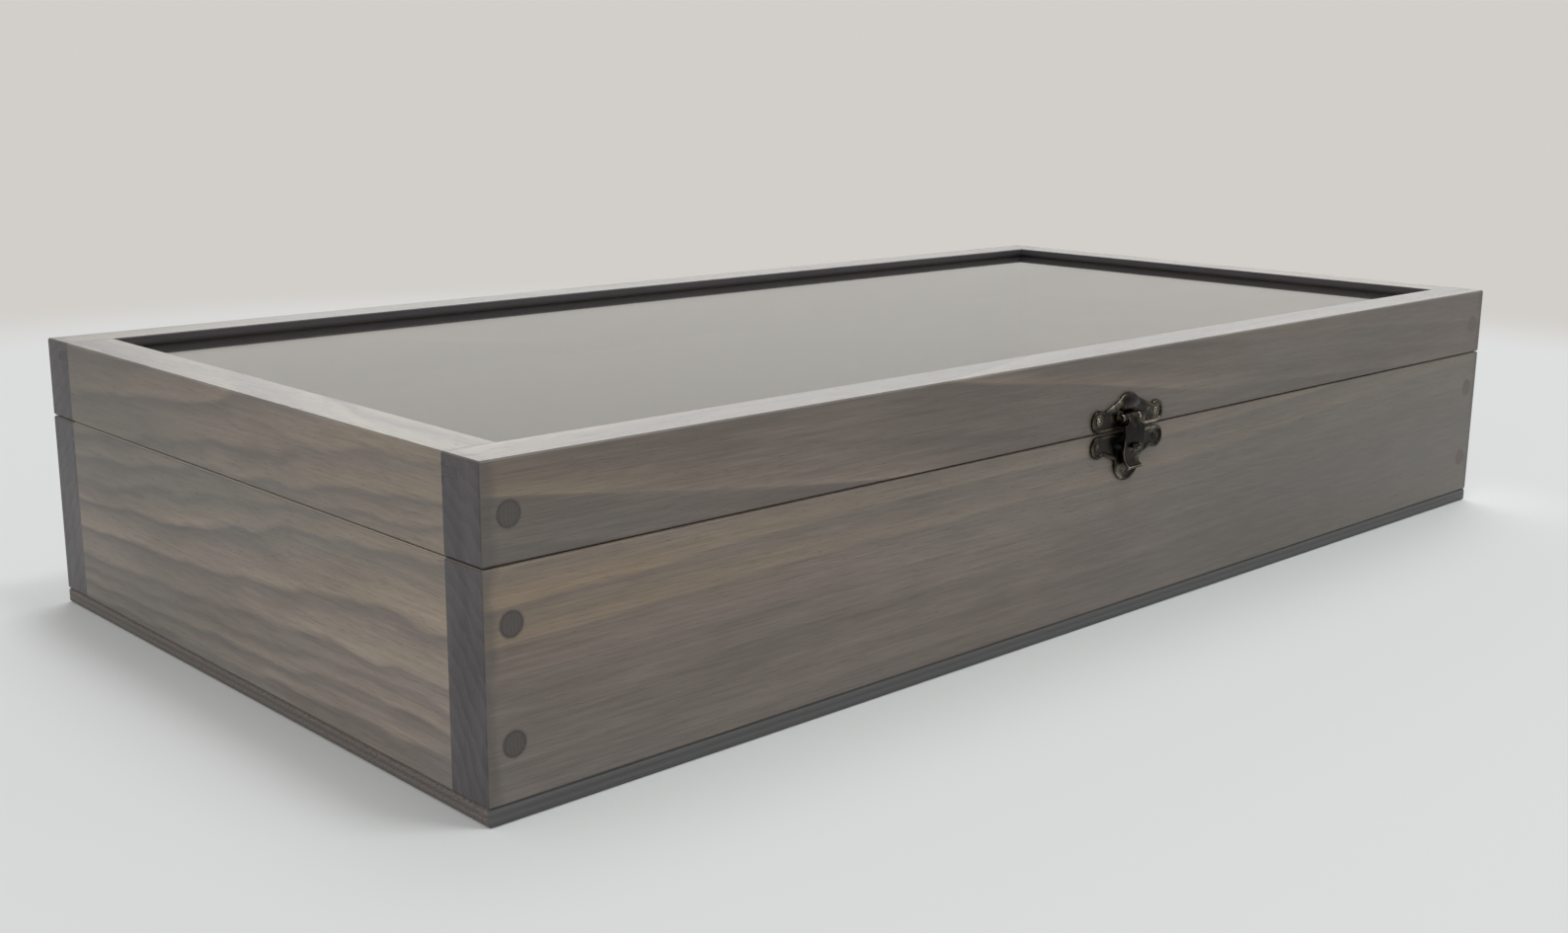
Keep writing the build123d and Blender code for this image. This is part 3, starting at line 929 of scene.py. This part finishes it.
def lightWorld():
    # a plain surround: what is seen in it is the backdrop, what it sheds is an even soft light
    look = stageLook
    world = bpy.data.worlds.new("surround")
    bpy.context.scene.world = world
    world.use_nodes = True
    nodes = Nodes(world.node_tree)
    nodes.tree.nodes.clear()
    rays = [nodes.node("ShaderNodeLightPath", output=kind)
            for kind in ("Is Camera Ray", "Is Glossy Ray", "Is Transmission Ray")]
    seen = nodes.math("MAXIMUM", nodes.math("MAXIMUM", rays[0], rays[1]), rays[2])
    shown = nodes.node("ShaderNodeBackground", {}, {"Color": look["backdrop"], "Strength": 1.0})
    shed = nodes.node("ShaderNodeBackground", {}, {
        "Color": look["soft"], "Strength": look["strength"]})
    out = nodes.tree.nodes.new("ShaderNodeOutputWorld")
    nodes.feed(out.inputs["Surface"], nodes.node("ShaderNodeMixShader", {}, {
        0: seen, 1: shed, 2: shown}))


lightWorld()

# places in metres; only the lamps with glints are mirrored in the wood and the bronze
lampLook = {
    "key": {"place": (-2.7, -1.2, 1.35), "size": 1.6, "watts": 38.0},
    "fill": {"place": (1.6, -2.5, 1.2), "size": 1.8, "watts": 16.0},
    "back": {"place": (2.03, 1.76, 1.6), "size": 4.8, "height": 1.5, "watts": 116.0,
             "glints": True},
    "ceiling": {"place": (0.15, -0.6, 1.95), "size": 0.5, "watts": 21.0, "glints": True},
}
lampRims = ((0.28, 0.5), (0.15, 0.5))      # where the glow fades, out from the middle


def softenEdges(lamp):
    # the lamp dims towards its rim, as a cloth-faced box does
    lamp.data.use_nodes = True
    nodes = Nodes(lamp.data.node_tree)
    nodes.tree.nodes.clear()
    place = nodes.split(nodes.node("ShaderNodeNewGeometry", output="Parametric"))
    glow = 1.0
    for side, rim in zip(place, lampRims):
        glow = nodes.ease(abs(side - 0.5), *rim, 1.0, 0.0) * glow
    out = nodes.tree.nodes.new("ShaderNodeOutputLight")
    nodes.feed(out.inputs["Surface"], nodes.node("ShaderNodeEmission", {}, {
        "Color": (1, 1, 1, 1), "Strength": glow}))


# no lamp is mirrored in the pane, which shows only the backdrop
unmirrored = bpy.data.collections.new("unmirrored")
unmirrored.objects.link(parts["glass_pane"])
unmirrored.collection_objects[0].light_linking.link_state = "EXCLUDE"

for name, look in lampLook.items():
    bpy.ops.object.light_add(type="AREA", location=look["place"])
    lamp = bpy.context.object
    lamp.name = name + "Lamp"
    lamp.data.energy = look["watts"]
    lamp.data.shape = "RECTANGLE"
    lamp.data.size, lamp.data.size_y = look["size"], look.get("height", look["size"])
    lamp.visible_glossy = look.get("glints", False)
    lamp.visible_transmission = False      # and none is seen through it
    if "glints" in look:
        softenEdges(lamp)
        lamp.light_linking.receiver_collection = unmirrored
    lamp.rotation_mode = "QUATERNION"
    lamp.rotation_quaternion = (-lamp.location).to_track_quat("-Z", "Y")

cameraLook = {"place": (-572.46, -556.27, 216.77), "heading": 43.610, "down": 12.691,
              "roll": 0.468, "lens": 40.395}
bpy.ops.object.camera_add()
camera = bpy.context.object
camera.data.sensor_width = 36.0
camera.data.lens = cameraLook["lens"]
camera.data.clip_start, camera.data.clip_end = 0.01, 60.0
camera.matrix_world = (
    Matrix.Translation([c * mm for c in cameraLook["place"]])
    @ Matrix.Rotation(radians(-cameraLook["heading"]), 4, "Z")
    @ Matrix.Rotation(radians(90 - cameraLook["down"]), 4, "X")
    @ Matrix.Rotation(radians(cameraLook["roll"]), 4, "Z"))
bpy.context.scene.camera = camera
bpy.context.scene.view_settings.view_transform = "Standard"
print("stage: floor, light and camera")
